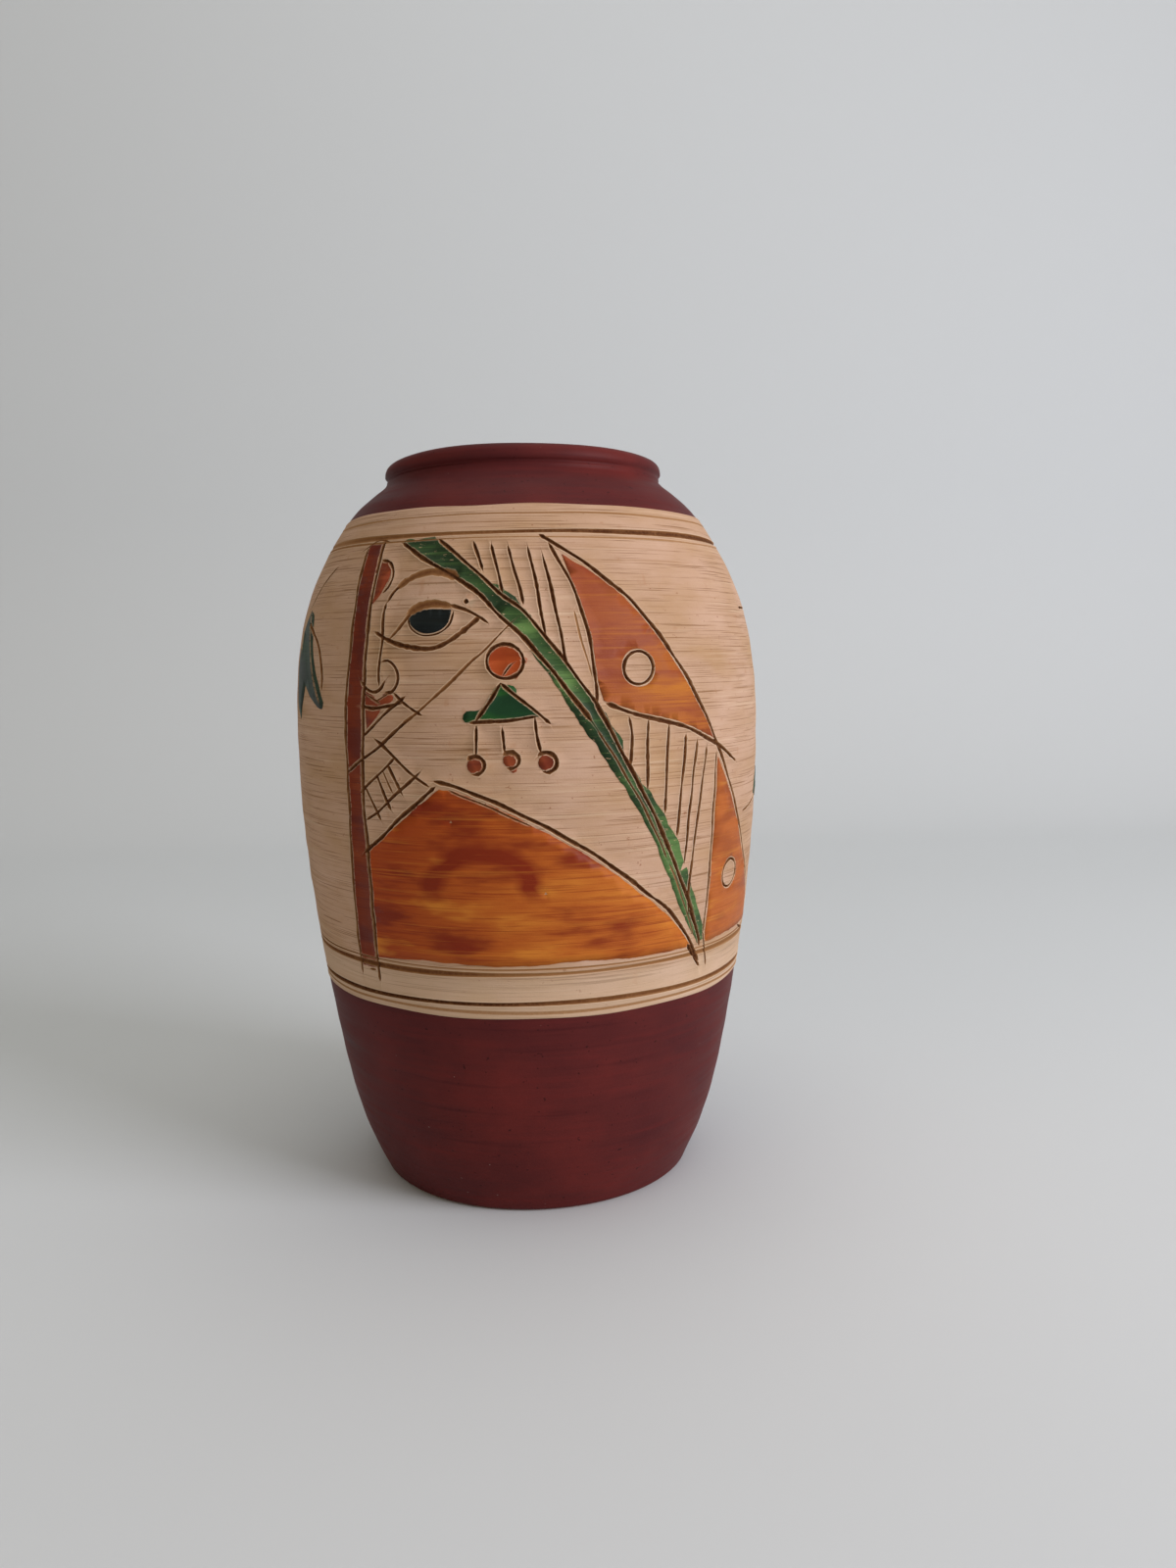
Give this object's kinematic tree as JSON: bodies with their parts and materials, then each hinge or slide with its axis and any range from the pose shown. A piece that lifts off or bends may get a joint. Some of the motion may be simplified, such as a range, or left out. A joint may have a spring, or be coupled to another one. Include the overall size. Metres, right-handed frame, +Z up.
{
  "type": "incised clay vase",
  "caption": "Thrown earthenware vase with a rolled lip, a pale slip band with incised and painted decoration, and dark red coats above and below.",
  "frame": {"origin": "centre of the foot, on the surface that the vase stands on", "axes": "+Z up along the axis of the pot, -Y towards the side with the drawing"},
  "size_m": [0.1552, 0.1557, 0.2384],
  "materials": {
    "terracotta": "bare fired clay, matt",
    "cream_slip": "matt slip with fine turning lines",
    "oxblood_coat": "satin burnished slip",
    "brown_paint": "matt brushed oxide wash",
    "orange_paint": "satin mottled oxide wash",
    "green_paint": "matt dry-brushed colour",
    "dark_paint": "matt brushed colour"
  },
  "bodies": {
    "root": {"clay_body": "terracotta", "cream_slip_coat": "cream_slip", "red_foot_coat": "oxblood_coat", "red_neck_coat": "oxblood_coat", "brown_post_stripe": "brown_paint", "forehead_half_disc": "brown_paint", "eye_pupil": "dark_paint", "lip_patches": "brown_paint", "green_hair_band": "green_paint", "upper_fin_panel": "orange_paint", "side_fin_panel": "orange_paint", "robe_panel": "orange_paint", "earring_disc": "orange_paint", "earring_triangle": "green_paint", "earring_drops": "brown_paint", "left_leaf_pair": "green_paint", "right_leaf": "green_paint", "back_leaf_sprig": "green_paint", "back_fruit_discs": "orange_paint"}
  },
  "joints": []
}
